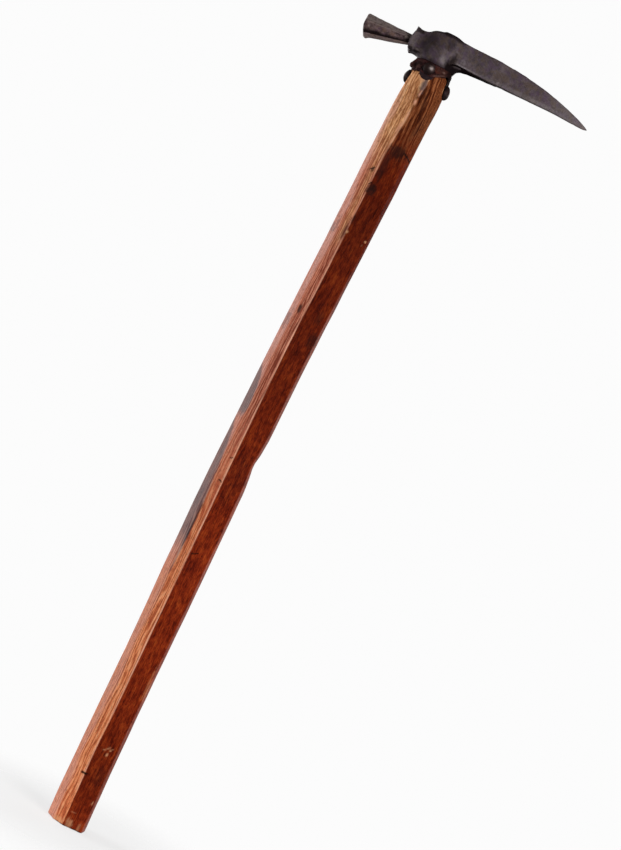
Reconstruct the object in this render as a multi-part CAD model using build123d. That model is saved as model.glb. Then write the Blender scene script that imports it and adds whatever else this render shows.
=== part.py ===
from build123d import *
import math
import os

# An old ice axe: a bowed, hand-hewn wooden shaft with a forged iron head.
# Frame: origin at the centre of the shaft's foot, +Z up the shaft, +X towards the pick's point,
# +Y towards the back. Sizes are in millimetres.

# --- shaft -------------------------------------------------------------------------------------
neck_z = 853.0           # height of the neck, where the wood goes under the iron
foot_bevel = 3.0         # height of the bevel round the foot
foot_inset = 5.0         # how much narrower the flat of the foot is
foot_width = 43.4        # across, from poll side to pick side
foot_depth = 38.6        # through, from front to back
neck_width = 39.2
neck_depth = 37.0
shoulder_z = neck_z + 7.5    # the wood keeps almost its full width up to here
shoulder_width = 37.8
shoulder_depth = 35.4
hollow_z = 414.0         # a shallow hewn hollow in the pick side
hollow_half = 27.0
hollow_floor = 4.0       # half height of its deepest stretch
hollow_depth = 2.8
# the hewn wood between foot and neck, one row for each height: how far it bows towards the poll,
# width across, depth through, and how regular the octagon is
hewn_stations = [
    (105.0, 2.3, 41.9, 38.2, 0.0),
    (225.0, 3.7, 41.7, 38.2, 0.0),
    (330.0, 5.4, 42.7, 38.8, 0.0),
    (490.0, 5.7, 42.3, 38.6, 0.0),
    (605.0, 3.9, 42.4, 38.4, 0.0),
    (725.0, 2.1, 44.0, 38.8, 0.25),
    (770.0, 1.9, 44.2, 38.8, 0.45),
    (805.0, 1.3, 44.4, 38.8, 0.65),
    (830.0, 0.4, 43.2, 38.6, 0.85),
]

# --- eye and tenon -----------------------------------------------------------------------------
eye_x = -3.0
eye_bottom = neck_z + 12.0
eye_top = neck_z + 50.0
eye_foot_radius = 17.6
eye_radius = 19.2        # at the widest part of the bulge
tenon_radius = 15.0
tenon_base = neck_z + 12.0
tenon_top = neck_z + 38.0

# --- pick --------------------------------------------------------------------------------------
tip_x = 169.0
tip_z = neck_z + 22.7
tip_height = 1.6
pick_top = neck_z + 46.5
pick_bottom = neck_z + 22.4
pick_root_half = 10.5    # half thickness at the root
pick_waist_half = 6.8
pick_waist_x = 72.0
heel_x = 60.0            # the heel under the pick's root runs out here

# --- socket and hammer bit -----------------------------------------------------------------------
mouth_x = -35.2
mouth_z = neck_z + 28.2
mouth_size = 23.4
mouth_height = 27.4
recess = 4.0
tang = 8.4               # side of the bit's square tang
tang_z = neck_z + 26.8
tang_end_x = -22.5
bit_end_x = -86.5
bit_top = neck_z + 32.2
bit_neck = 10.4          # height where it leaves the socket
bit_end = 23.3           # height at the striking face
bit_end_depth = 21.6

# --- band, straps and nails ----------------------------------------------------------------------
band_bottom = neck_z - 1.7
band_top = neck_z + 11.8
band_x = -0.6
band_width = 40.6
band_depth = 39.4
strap_thickness = 1.8
strap_top = neck_z + 27.0
side_nail_z = neck_z - 7.7
pick_side_turn = -10.0   # the pick side strap and nail sit turned towards the front
front_nail_z = neck_z + 4.6
front_nail_x = -4.6
dome_radius = 7.4        # the two nails at the sides
dome_height = 5.3
small_dome_radius = 6.4  # the two nails in the band
small_dome_height = 4.4
shank_radius = 1.8
shank_length = 14.0


def polygon(points):
    return Wire.make_polygon([Vector(*p) for p in points], close=True)


def octagon(z, lean, width, depth, even=0.0, dent=0.0):
    """Section at height z, lean towards the poll: hewn and uneven, or regular where even is 1."""
    hewn = [
        (-0.13, -1.0), (0.91, -0.84), (1.0, -0.42), (0.97, 0.42),
        (0.50, 1.0), (-0.42, 0.97), (-1.0, 0.16), (-0.69, -0.49),
    ]
    c = math.tan(math.pi / 8)
    regular = [(-c, -1), (c, -1), (1, -c), (1, c), (c, 1), (-c, 1), (-1, c), (-1, -c)]
    points = []
    for (hx, hy), (rx, ry) in zip(hewn, regular):
        x = (hx + (rx - hx) * even) * width / 2
        y = (hy + (ry - hy) * even) * depth / 2
        if hx > 0.95:
            x -= dent
        points.append((x - lean, y, z))
    return polygon(points)


def upright(x, z, height, depth, cut):
    """Section across X, centred on height z: a rectangle with its corners cut off."""
    h = height / 2
    d = depth / 2
    return polygon([
        (x, -d, z - h + cut), (x, -d, z + h - cut), (x, -d + cut, z + h), (x, d - cut, z + h),
        (x, d, z + h - cut), (x, d, z - h + cut), (x, d - cut, z - h), (x, -d + cut, z - h),
    ])


def ruled(sections):
    return Solid.make_loft(sections, ruled=True)


def shaft_body():
    """The wood before the straps and nails are let into it."""
    sections = [
        octagon(0.0, 0.0, foot_width - foot_inset, foot_depth - foot_inset),
        octagon(foot_bevel, 0.0, foot_width, foot_depth),
    ]
    for z, lean, width, depth, even in hewn_stations:
        if z > hollow_z and len(sections) == 5:
            for at, dent in ((-hollow_half, 0), (-hollow_floor, hollow_depth),
                             (hollow_floor, hollow_depth), (hollow_half, 0)):
                sections.append(octagon(hollow_z + at, 6.1, 42.8, 38.8, dent=dent))
        sections.append(octagon(z, lean, width, depth, even))
    neck = octagon(neck_z, 0.0, neck_width, neck_depth, even=1.0)
    hewn = ruled(sections + [neck])
    tenon_ring = [Vector(eye_x, 0, tenon_base) + Vector(tenon_radius, 0, 0).rotate(
        Axis.Z, 22.5 + 45 * k - 135) for k in range(8)]
    top_of_neck = octagon(shoulder_z, 0.6, shoulder_width, shoulder_depth, even=1.0)
    shoulder = ruled([neck, top_of_neck, polygon(tenon_ring)])
    tenon = Pos(eye_x, 0, tenon_base - 5) * Cylinder(
        tenon_radius, tenon_top - tenon_base + 5, align=(Align.CENTER, Align.CENTER, Align.MIN))
    return hewn + shoulder + tenon


def eye_barrel():
    """The bulged eye, closed by a shallow dome."""
    crown_edge = 12.5
    crown_z = neck_z + 47.0
    rise = eye_top - crown_z
    crown_radius = (crown_edge ** 2 + rise ** 2) / (2 * rise)
    half_way = (crown_edge / 2, eye_top - crown_radius + math.sqrt(crown_radius ** 2 - crown_edge ** 2 / 4))
    profile = Plane.XZ * make_face([
        Line((0, eye_bottom), (eye_foot_radius, eye_bottom)),
        ThreePointArc((eye_foot_radius, eye_bottom), (eye_radius, neck_z + 26), (17.6, neck_z + 41)),
        ThreePointArc((17.6, neck_z + 41), (15.6, neck_z + 45.0), (crown_edge, crown_z)),
        ThreePointArc((crown_edge, crown_z), half_way, (0, eye_top)),
        Line((0, eye_top), (0, eye_bottom)),
    ])
    return Pos(eye_x, 0, 0) * revolve(profile, Axis.Z)


def pick_blade():
    """The side outline of the pick, cut by its taper in plan, so that it narrows both ways."""
    start = 2.0
    outline = Plane.XZ * make_face([
        Line((start, pick_bottom), (start, pick_top)),
        Line((start, pick_top), (46, pick_top)),
        Spline((46, pick_top), (98, neck_z + 42.8), (134, neck_z + 35.3), (tip_x, tip_z + tip_height / 2),
               tangents=[(1, 0), (12, -5)]),
        Line((tip_x, tip_z + tip_height / 2), (tip_x, tip_z - tip_height / 2)),
        Line((tip_x, tip_z - tip_height / 2), (162, neck_z + 21.4)),
        Line((162, neck_z + 21.4), (112, pick_bottom)),
        Line((112, pick_bottom), (start, pick_bottom)),
    ])
    side = extrude(outline, amount=20, both=True)
    half = [
        (start, pick_root_half), (26, pick_root_half), (pick_waist_x, pick_waist_half),
        (120, 5.4), (155, 2.6), (tip_x + 0.1, 0.8),
    ]
    mirrored = [(x, -y) for x, y in reversed(half)]
    plan = Plane.XY * make_face(Polyline(*half, *mirrored, close=True))
    return side & (Pos(0, 0, neck_z) * extrude(plan, amount=60))


def heel():
    """The thickening that carries the underside of the pick down to the foot of the eye."""
    outline = Plane.XZ * make_face(Polyline(
        (6, eye_bottom), (19.6, eye_bottom), (20.4, neck_z + 15.0), (22.0, neck_z + 18.0),
        (26.0, neck_z + 20.0), (38.0, neck_z + 21.4), (heel_x, pick_bottom - 0.2),
        (heel_x, pick_bottom + 3), (6, pick_bottom + 3), close=True))
    return extrude(outline, amount=7.0, both=True)


def socket():
    """The square socket for the hammer bit, drawn in at its waist and flared at its mouth."""
    return ruled([
        upright(-10.0, neck_z + 28.4, 28.0, 28.0, 4.0),
        upright(-23.0, mouth_z + 0.4, 24.4, 21.0, 3.0),
        upright(-29.0, mouth_z + 0.3, 23.8, 20.6, 2.0),
        upright(mouth_x, mouth_z, mouth_height, mouth_size, 1.0),
    ])


def mouth_recess():
    """The flared mouth narrows inwards to the square hole for the tang."""
    return ruled([
        upright(mouth_x - 0.5, mouth_z, mouth_height - 6.0, mouth_size - 5.4, 1.0),
        upright(mouth_x + recess, tang_z, tang + 2.4, tang + 2.4, 0.6),
    ])


def tang_block(length):
    """The square hole, or the tang that fills it, ending at the same depth."""
    return Pos(tang_end_x - length / 2, 0, tang_z) * Box(length, tang, tang)


def head_forging():
    bore = Pos(eye_x, 0, eye_bottom - 10) * Cylinder(
        tenon_radius, tenon_top - eye_bottom + 10, align=(Align.CENTER, Align.CENTER, Align.MIN))
    iron = eye_barrel() - bore
    for lump in (socket(), pick_blade(), heel()):
        iron = iron + (lump - bore)
    return iron - mouth_recess() - tang_block(tang_end_x - mouth_x + 1)


def bit_section(x, top, height, depth):
    """Eight-sided section across X, with wide facets above and narrow ones below."""
    d = depth / 2
    upper = 0.34 * height
    lower = 0.08 * height
    foot = top - height
    return polygon([
        (x, -d, foot + lower), (x, -d, top - upper), (x, -d * 0.44, top), (x, d * 0.44, top),
        (x, d, top - upper), (x, d, foot + lower), (x, d * 0.52, foot), (x, -d * 0.52, foot),
    ])


def hammer_bit():
    """An eight-sided bit that flares to a slightly domed striking face, with a square tang."""
    bit = ruled([
        bit_section(mouth_x + recess, bit_top - 0.2, bit_neck - 0.4, bit_neck - 0.4),
        bit_section(bit_end_x + 4.0, bit_top, bit_end, bit_end_depth),
        bit_section(bit_end_x, bit_top - 0.7, bit_end - 2.6, bit_end_depth - 3.0),
    ])
    worn_corner = Plane.XZ * make_face(Polyline(
        (bit_end_x - 1, neck_z + 6), (bit_end_x - 1, neck_z + 19), (bit_end_x + 0.6, neck_z + 18),
        (bit_end_x + 2.6, neck_z + 13), (bit_end_x + 6.4, neck_z + 7), close=True))
    bit = bit - extrude(worn_corner, amount=20, both=True)
    return bit + tang_block(tang_end_x - mouth_x - recess)


def strap(angle, neck_reach, width, low, tip, shift=0.0):
    """A strap at one side of the eye's axis: up inside the eye, down over the shoulder and neck.

    neck_reach is how far the wood's face stands from the eye's axis. The strap ends at height
    low, with a point that is tip long.
    """
    t = strap_thickness
    proud = 0.5
    outer = [(tenon_radius, strap_top), (tenon_radius, tenon_base), (neck_reach - 0.3, shoulder_z),
             (neck_reach + proud, neck_z), (neck_reach + proud + 0.4, low)]
    inner = [(x - t, z) for x, z in reversed(outer)]
    side = extrude(Plane.XZ * make_face(Polyline(*outer, *inner, close=True)), amount=width, both=True)
    face = Plane.YZ * make_face(Polyline(
        (-width / 2, strap_top), (-width / 2, low + tip), (-width * 0.14, low), (width * 0.14, low),
        (width / 2, low + tip), (width / 2, strap_top), close=True))
    blank = side & extrude(face, amount=60)
    return Pos(eye_x + shift, 0, 0) * Rot(0, 0, angle) * blank


def nail(x, y, z, angle, radius, height):
    """A nail with a forged dome head, its shank pointing back along -X before it is turned."""
    ball = (radius ** 2 + height ** 2) / (2 * height)
    middle = (ball * math.sin(0.6), height - ball + ball * math.cos(0.6))
    profile = Plane.XZ * make_face([
        Line((0, 0), (radius, 0)),
        ThreePointArc((radius, 0), middle, (0, height)),
        Line((0, height), (0, 0)),
    ])
    dome = revolve(profile, Axis.Z)
    shank = Cylinder(shank_radius, shank_length, align=(Align.CENTER, Align.CENTER, Align.MAX))
    return Pos(x, y, z) * Rot(0, 0, angle) * Rot(0, 90, 0) * (dome + shank)


def band_outer():
    """The band before it is fitted round the neck, with its turned-out corner."""
    def ring(z, grow, pinch=0.0):
        w = band_width / 2 + grow - pinch
        d = band_depth / 2 + grow - pinch
        a = 0.52
        x = band_x
        return polygon([(x - a * w, -d, z), (x + a * w, -d, z), (x + w, -a * d, z), (x + w, a * d, z),
                        (x + a * w, d, z), (x - a * w, d, z), (x - w, a * d, z), (x - w, -a * d, z)])
    body = ruled([ring(band_bottom, -0.2), ring(band_bottom + 4, 0.3), ring(neck_z + 8.5, 0.0),
                  ring(band_top, 0.0, pinch=1.6)])
    corner = Plane.XZ * make_face(Polyline(
        (-15, neck_z + 1.0), (-23.6, neck_z + 2.0), (-25.6, neck_z + 4.4), (-21.6, neck_z + 9.4),
        (-20.2, neck_z + 11.6), (-15, neck_z + 11.6), close=True))
    tab = Pos(0, 3.5, 0) * extrude(corner, amount=17)
    slant = Plane.XZ * make_face(Polyline(
        (1.0, band_bottom - 1), (1.0, band_bottom), (5.0, neck_z - 0.2), (10.0, neck_z + 2.3),
        (13.2, neck_z + 3.8), (14.8, neck_z + 6.3), (24.0, neck_z + 6.8), (24.0, band_bottom - 1), close=True))
    front_cut = Pos(0, 6, 0) * extrude(slant, amount=40)
    return body + tab - front_cut


def build():
    wood = shaft_body()
    head = head_forging()
    reach_pick = neck_width / 2 - eye_x
    reach_poll = neck_width / 2 + eye_x
    reach_face = neck_depth / 2
    side_low = side_nail_z - 6.0
    straps = {
        "pick_side_langet": strap(pick_side_turn, reach_pick + 0.3, 12.0, side_low, 3.0),
        "rear_langet": strap(90, reach_face, 15.0, neck_z - 8.4, 5.6),
        "poll_side_langet": strap(180, reach_poll, 12.0, side_low, 3.0),
        "front_langet": strap(270, reach_face, 15.0, neck_z - 7.2, 3.6, shift=-1.4),
    }
    side_face = neck_width / 2 + 0.7
    turn = math.radians(pick_side_turn)
    out = side_face - eye_x + 0.3
    band_face = band_depth / 2 + 0.2
    side = (dome_radius, dome_height)
    small = (small_dome_radius, small_dome_height)
    nails = {
        "pick_side_nail": nail(eye_x + out * math.cos(turn), out * math.sin(turn), side_nail_z,
                               pick_side_turn, *side),
        "rear_nail": nail(eye_x, band_face, front_nail_z, 90, *small),
        "poll_side_nail": nail(-side_face, 0, side_nail_z, 180, *side),
        "front_nail": nail(front_nail_x, -band_face, front_nail_z, 270, *small),
    }
    for name in straps:
        straps[name] = straps[name] - head
        for one in nails.values():
            straps[name] = straps[name] - one
    band = band_outer() - wood
    shaft = wood
    for one in list(straps.values()) + list(nails.values()):
        band = band - one
        shaft = shaft - one
    shaft = shaft.solids().sort_by(SortBy.VOLUME)[-1]    # without the sliver left over a strap
    parts = {"shaft": shaft, "head": head, "hammer_poll": hammer_bit(), "neck_collar": band}
    parts.update(straps)
    parts.update(nails)
    return parts


os.makedirs("parts", exist_ok=True)
for name, shape in build().items():
    export_step(shape, f"parts/{name}.step")
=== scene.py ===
"""An old ice axe: hand-hewn shaft, forged head, flared hammer bit, rusty band, straps and nails."""
import math

import bpy
import numpy as np
import openvdb
from mathutils import Matrix, Vector


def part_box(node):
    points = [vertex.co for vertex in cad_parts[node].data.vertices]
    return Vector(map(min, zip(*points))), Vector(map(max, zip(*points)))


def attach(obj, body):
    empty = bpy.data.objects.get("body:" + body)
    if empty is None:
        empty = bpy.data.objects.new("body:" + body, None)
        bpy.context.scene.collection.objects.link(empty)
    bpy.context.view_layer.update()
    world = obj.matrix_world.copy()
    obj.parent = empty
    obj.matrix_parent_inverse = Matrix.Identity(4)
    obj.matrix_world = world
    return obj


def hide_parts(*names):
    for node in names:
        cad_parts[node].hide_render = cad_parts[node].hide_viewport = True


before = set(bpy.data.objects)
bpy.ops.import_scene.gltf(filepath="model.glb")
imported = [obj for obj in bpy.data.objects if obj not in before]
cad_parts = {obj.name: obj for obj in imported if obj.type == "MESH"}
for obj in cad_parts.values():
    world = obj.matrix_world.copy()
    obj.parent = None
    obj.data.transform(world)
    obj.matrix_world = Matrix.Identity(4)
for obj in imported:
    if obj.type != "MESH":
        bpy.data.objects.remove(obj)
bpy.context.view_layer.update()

MM = 0.001
HEAD_LO, HEAD_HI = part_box("head")
BIT_LO, BIT_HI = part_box("hammer_poll")
EYE_BOTTOM = HEAD_LO.z / MM
# in millimetres; the head's own heights below are measured from the neck
EYE_FOOT = 12.0                   # the eye's underside
NECK = EYE_BOTTOM - EYE_FOOT      # the neck above the foot of the shaft
TIP_X = HEAD_HI.x / MM
EYE_X = -3.0
TENON, BORE, BORE_TOP = 14.9, 15.1, 38.1      # radii of the tenon and its bore, and the bore's top
BIT_TOP = BIT_HI.z / MM
BIT_END = BIT_LO.x / MM
BIT_NECK_X = -31.2                # where the bit leaves the socket
TANG_MID = 26.8                   # the middle height of its square tang


# ---------------- numbers and noise

def smooth_step(a, b, x):
    t = np.clip((x - a) / (b - a), 0.0, 1.0)
    return t * t * (3.0 - 2.0 * t)


def bump(x, centre, width):
    return np.exp(-((x - centre) / width) ** 2)


def through(x, knots):
    """A smooth curve through given (x, value) knots, level beyond its ends."""
    kx = np.array([k[0] for k in knots], float)
    ky = np.array([k[1] for k in knots], float)
    slope = np.gradient(ky, kx)
    slope[0] = slope[-1] = 0.0
    x = np.clip(x, kx[0], kx[-1])
    i = np.clip(np.searchsorted(kx, x, side="right") - 1, 0, len(kx) - 2)
    h = kx[i + 1] - kx[i]
    t = (x - kx[i]) / h
    a = (1 + 2 * t) * (1 - t) ** 2 * ky[i] + t * (1 - t) ** 2 * h * slope[i]
    return a + t * t * (3 - 2 * t) * ky[i + 1] + t * t * (t - 1) * h * slope[i + 1]


def noise(points, size, seed):
    """Smooth noise between -1 and 1 at points (N, 3), with lumps of the given size or sizes."""
    rng = np.random.default_rng(seed)
    table = rng.uniform(-1, 1, 4096)
    p = points / np.asarray(size, float) + 37.0
    cell = np.floor(p).astype(np.int64)
    t = p - cell
    t = t * t * t * (t * (t * 6 - 15) + 10)
    total = np.zeros(len(points))
    for corner in range(8):
        step = np.array([corner & 1, (corner >> 1) & 1, corner >> 2])
        c = cell + step
        code = (c[:, 0] * 73856093) ^ (c[:, 1] * 19349663) ^ (c[:, 2] * 83492791)
        weight = np.prod(np.where(step == 1, t, 1 - t), axis=1)
        total += weight * table[code % 4096]
    return total


def soft_min(a, b, k):
    h = np.clip(0.5 + 0.5 * (b - a) / k, 0.0, 1.0)
    return b + (a - b) * h - k * h * (1.0 - h)


def soft_max(a, b, k):
    return -soft_min(-a, -b, k)


# ---------------- meshes

def add_object(name, data):
    made = bpy.data.objects.new(name, data)
    bpy.context.scene.collection.objects.link(made)
    return made


def make_piece(name, points, faces, smooth=True):
    """A mesh piece from points in millimetres."""
    mesh = bpy.data.meshes.new(name)
    mesh.from_pydata((np.asarray(points) * MM).tolist(), [], [list(map(int, f)) for f in faces])
    mesh.validate()
    mesh.update()
    mesh.polygons.foreach_set("use_smooth", [smooth] * len(mesh.polygons))
    return add_object(name, mesh)


def stand_in(piece, node, material):
    """The piece stands for one CAD node, with its body, finish slot and material."""
    piece.data.materials.append(material)
    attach(piece, "root")
    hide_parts(node)
    return piece


def normals(points, faces):
    """Unit normals at the points of a closed surface of quads or triangles."""
    total = np.zeros_like(points)
    for size in (3, 4):
        some = np.array([f for f in faces if len(f) == size])
        if len(some) == 0:
            continue
        a = points[some[:, 2]] - points[some[:, 0]]
        b = points[some[:, -1]] - points[some[:, 1]]
        n = np.cross(a, b)
        for k in range(size):
            np.add.at(total, some[:, k], n)
    return total / np.maximum(np.linalg.norm(total, axis=1, keepdims=True), 1e-9)


def solid_from_field(field, low, high, voxel):
    """Surface of the solid where field(x, y, z) is negative, as points and quads."""
    axes = [np.arange(low[i], high[i] + voxel, voxel) for i in range(3)]
    x, y, z = np.meshgrid(*axes, indexing="ij")
    values = np.clip(field(x, y, z), -3 * voxel, 3 * voxel).astype(np.float32)
    grid = openvdb.FloatGrid(3 * voxel)
    grid.copyFromArray(values)
    points, quads = grid.convertToQuads(isovalue=0.0)
    points = points.astype(float) * voxel + np.array(low)
    return points, quads


def add_relief(points, faces, layers):
    """Moves the points along their normals by layers of (lump size, height, seed)."""
    n = normals(points, faces)
    shift = sum(height * noise(points, size, seed) for size, height, seed in layers)
    return points + n * shift[:, None]


def ring_loft(rings):
    """A closed solid through rings of equal point counts, capped at both ends by a centre point."""
    count = len(rings[0])
    points = np.vstack(rings + [rings[0].mean(axis=0)[None], rings[-1].mean(axis=0)[None]])
    faces = []
    for i in range(len(rings) - 1):
        for j in range(count):
            k = (j + 1) % count
            faces.append((i * count + j, i * count + k, (i + 1) * count + k, (i + 1) * count + j))
    first, last = len(points) - 2, len(points) - 1
    base = (len(rings) - 1) * count
    for j in range(count):
        k = (j + 1) % count
        faces.append((first, k, j))
        faces.append((last, base + j, base + k))
    return points, faces


def crowd(t):
    """Moves evenly spaced shares of a flat towards its two ends."""
    return 0.35 * t + 0.65 * (0.5 - 0.5 * np.cos(np.pi * t))


def rounded(corners, radius, flat_steps, arc_steps):
    """A polygon with rounded corners: the same number of points for any corners given."""
    corners = np.asarray(corners, float)
    count = len(corners)
    ends = []
    for i in range(count):
        here, before, after = corners[i], corners[i - 1], corners[(i + 1) % count]
        a = (before - here) / np.linalg.norm(before - here)
        b = (after - here) / np.linalg.norm(after - here)
        reach = min(radius, 0.45 * np.linalg.norm(before - here), 0.45 * np.linalg.norm(after - here))
        ends.append((here + a * reach, here, here + b * reach))
    points = []
    for i in range(count):
        start, mid, end = ends[i]
        for t in np.linspace(0, 1, arc_steps + 1):
            points.append((1 - t) ** 2 * start + 2 * t * (1 - t) * mid + t * t * end)
        following = ends[(i + 1) % count][0]
        for t in np.linspace(0, 1, flat_steps + 1)[1:-1]:
            points.append(end + (following - end) * crowd(t))
    return np.array(points)


# ---------------- material graphs

class Graph:
    """Short calls that add nodes to one material or world and return their output sockets."""

    def __init__(self, owner, space="Object"):
        self.owner = owner
        owner.use_nodes = True
        self.tree = owner.node_tree
        self.tree.nodes.clear()
        self.place = self.node("ShaderNodeTexCoord").outputs[space]

    def node(self, kind, **settings):
        made = self.tree.nodes.new(kind)
        for key, value in settings.items():
            setattr(made, key, value)
        return made

    def feed(self, socket, value):
        if isinstance(value, bpy.types.NodeSocket):
            self.tree.links.new(value, socket)
        else:
            socket.default_value = value

    def in_order(self, made, *values):
        """Feeds a node's inputs in their order."""
        for socket, value in zip(made.inputs, values):
            self.feed(socket, value)
        return made.outputs[0]

    def by_name(self, made, **values):
        """Feeds a node's inputs by their names, with _ for each space."""
        for name, value in values.items():
            self.feed(made.inputs[name.replace("_", " ")], value)
        return made.outputs[0]

    def math(self, operation, a, b=0.0, c=0.0):
        return self.in_order(self.node("ShaderNodeMath", operation=operation), a, b, c)

    def times(self, a, b):
        return self.math("MULTIPLY", a, b)

    def add(self, a, share, b):
        """A share of a, added to b."""
        return self.math("MULTIPLY_ADD", a, share, b)

    def noise(self, across, along=None, detail=3.0, roughness=0.55, distortion=0.0, offset=0.0):
        """Noise with lumps of the given size across the shaft and along it, in millimetres."""
        along = across if along is None else along
        place = self.by_name(self.node("ShaderNodeMapping"), Vector=self.place,
                             Scale=(1 / (across * MM), 1 / (across * MM), 1 / (along * MM)),
                             Location=(offset, offset * 0.7, offset * 1.3))
        return self.by_name(self.node("ShaderNodeTexNoise"), Vector=place, Scale=1.0, Detail=detail,
                            Roughness=roughness, Distortion=distortion)

    def slanted(self, across, along):
        """Long thin streaks in the plane of the pick, slanting like file strokes."""
        place = self.by_name(self.node("ShaderNodeMapping", vector_type="TEXTURE"), Vector=self.place,
                             Rotation=(0.0, 0.6, 0.0), Scale=(along * MM, across * MM, across * MM))
        return self.by_name(self.node("ShaderNodeTexNoise"), Vector=place, Scale=1.0, Detail=2.0)

    def level(self, value, low, high, to_low=0.0, to_high=1.0):
        """Maps low..high to to_low..to_high, smoothly and clamped."""
        made = self.node("ShaderNodeMapRange", interpolation_type="SMOOTHSTEP", clamp=True)
        return self.by_name(made, Value=value, From_Min=low, From_Max=high, To_Min=to_low,
                            To_Max=to_high)

    def ramp(self, value, *stops):
        made = self.node("ShaderNodeValToRGB")
        self.feed(made.inputs["Fac"], value)
        elements = made.color_ramp.elements
        while len(elements) < len(stops):
            elements.new(0.5)
        for element, (position, colour) in zip(elements, stops):
            element.position = position
            element.color = (*colour, 1.0)
        return made.outputs["Color"]

    def mix(self, factor, a, b):
        made = self.node("ShaderNodeMix", data_type="RGBA")
        self.feed(made.inputs[0], factor)
        self.feed(made.inputs[6], (*a, 1.0) if isinstance(a, tuple) else a)
        self.feed(made.inputs[7], (*b, 1.0) if isinstance(b, tuple) else b)
        return made.outputs[2]

    def mask(self, name):
        return self.node("ShaderNodeAttribute", attribute_name=name).outputs["Fac"]

    def axis(self, index):
        split = self.node("ShaderNodeSeparateXYZ")
        self.feed(split.inputs[0], self.place)
        return split.outputs[index]

    def scale(self, colour, factor):
        """A colour times a number between 0 and 1."""
        return self.mix(factor, (0.0, 0.0, 0.0), colour)

    def finish(self, colour, roughness, height, depth, metal, shine):
        """The surface shader with its bump; metal and shine are how metallic and how glossy it is."""
        relief = self.by_name(self.node("ShaderNodeBump"), Strength=1.0, Distance=depth * MM,
                              Height=height)
        surface = self.by_name(self.node("ShaderNodeBsdfPrincipled"), Base_Color=colour, Metallic=metal,
                               Roughness=roughness, Specular_IOR_Level=shine, Normal=relief)
        self.feed(self.node("ShaderNodeOutputMaterial").inputs["Surface"], surface)
        return self.owner


def wood_material():
    g = Graph(bpy.data.materials.new("old_ash"))
    blotch = g.noise(6.0, 22.0, detail=4.0, roughness=0.6, distortion=0.7)
    cloud = g.noise(3.2, 7.0, roughness=0.6, offset=13.0)
    streak = g.noise(0.95, 34.0, roughness=0.65, offset=3.0)
    fibre = g.noise(0.62, 6.0, detail=2.0, roughness=0.6, offset=9.0)
    fleck = g.noise(0.5, 4.0, detail=1.0, offset=21.0)
    wander = g.noise(16.0, 90.0, offset=5.0)
    tilt = g.add(g.axis(0), 0.22, g.axis(1))
    ring = g.add(wander, 0.009, tilt)
    ring = g.add(g.noise(2.5, 40.0, detail=2.0, offset=17.0), 0.0009, ring)
    band = g.math("SINE", g.times(ring, 2 * math.pi / (1.7 * MM)))
    band = g.add(band, 0.5, 0.5)
    pores = g.level(fleck, 0.55, 0.68)
    tone = g.add(blotch, 0.26, g.times(cloud, 0.24))
    tone = g.add(streak, 0.24, tone)
    tone = g.add(fibre, 0.26, tone)
    varnished = g.ramp(tone, (0.405, (0.070, 0.0050, 0.0020)), (0.470, (0.165, 0.0145, 0.0036)),
                       (0.530, (0.265, 0.0290, 0.0060)), (0.610, (0.390, 0.0620, 0.0110)))
    lines = g.add(band, 0.22, g.times(streak, 0.40))
    lines = g.add(fibre, 0.28, g.add(cloud, 0.10, lines))
    worn_and_lit_tones = g.ramp(lines, (0.37, (0.380, 0.075, 0.028)), (0.46, (0.640, 0.180, 0.068)),
                    (0.55, (0.800, 0.270, 0.112)), (0.64, (0.900, 0.400, 0.195)))
    soft = g.add(blotch, 0.36, g.times(lines, 0.34))
    soft = g.add(cloud, 0.18, g.add(streak, 0.12, soft))
    bare = g.ramp(soft, (0.37, (0.200, 0.068, 0.024)), (0.45, (0.460, 0.190, 0.075)),
                  (0.51, (0.720, 0.350, 0.155)), (0.60, (0.860, 0.510, 0.270)))
    sooty = g.ramp(lines, (0.39, (0.040, 0.010, 0.003)), (0.46, (0.115, 0.030, 0.009)),
                   (0.54, (0.190, 0.054, 0.017)), (0.64, (0.330, 0.120, 0.046)))
    # the poll-side facets: worn paler wood, painted brighter as well, standing in for the light falling
    # on them
    poll_side_worn_and_lit = g.mask("poll_side_worn_and_lit")
    deep = g.mask("deep")
    varnished = g.scale(varnished, g.math("SUBTRACT", 1.0, deep))
    worn_and_lit_tones = g.mix(deep, worn_and_lit_tones, (0.350, 0.055, 0.024))
    colour = g.mix(poll_side_worn_and_lit, varnished, worn_and_lit_tones)
    colour = g.mix(g.mask("bare"), colour, g.mix(poll_side_worn_and_lit, sooty, bare))
    # painted sheen, with some dust: a pale pinkish tone on the far facets
    sheen_and_dust_tones = g.mix(g.level(lines, 0.40, 0.60), (0.500, 0.225, 0.175), (0.680, 0.380, 0.320))
    colour = g.mix(g.mask("sheen_and_dust"), colour, sheen_and_dust_tones)
    colour = g.mix(g.times(pores, 0.55), colour, (0.028, 0.004, 0.002))
    ruddy = g.level(g.noise(1.3, 24.0, detail=2.0, offset=41.0), 0.44, 0.56, 0.0, 0.9)
    colour = g.mix(g.times(g.mask("ruddy"), ruddy), colour, (0.160, 0.022, 0.008))
    worn = g.mix(g.level(lines, 0.40, 0.60), (0.095, 0.080, 0.088), (0.250, 0.185, 0.180))
    # arris: a painted highlight line; dark: stains, and painted shade on the foot's rim; pale: chips,
    # and one painted highlight
    marks = (("arris", (0.84, 0.42, 0.28)), ("grey", worn), ("dark", (0.016, 0.006, 0.005)),
             ("pale", (0.74, 0.38, 0.19)), ("crack", (0.010, 0.004, 0.003)))
    for name, tint in marks:
        colour = g.mix(g.mask(name), colour, tint)
    roughness = g.add(blotch, 0.25, g.add(g.mask("bare"), 0.15, 0.36))
    height = g.add(fibre, 0.55, g.times(pores, -0.5))
    height = g.add(streak, 0.6, height)
    height = g.add(g.mask("crack"), -1.5, height)
    return g.finish(colour, roughness, height, 0.18, 0.0, 0.02)


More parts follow.
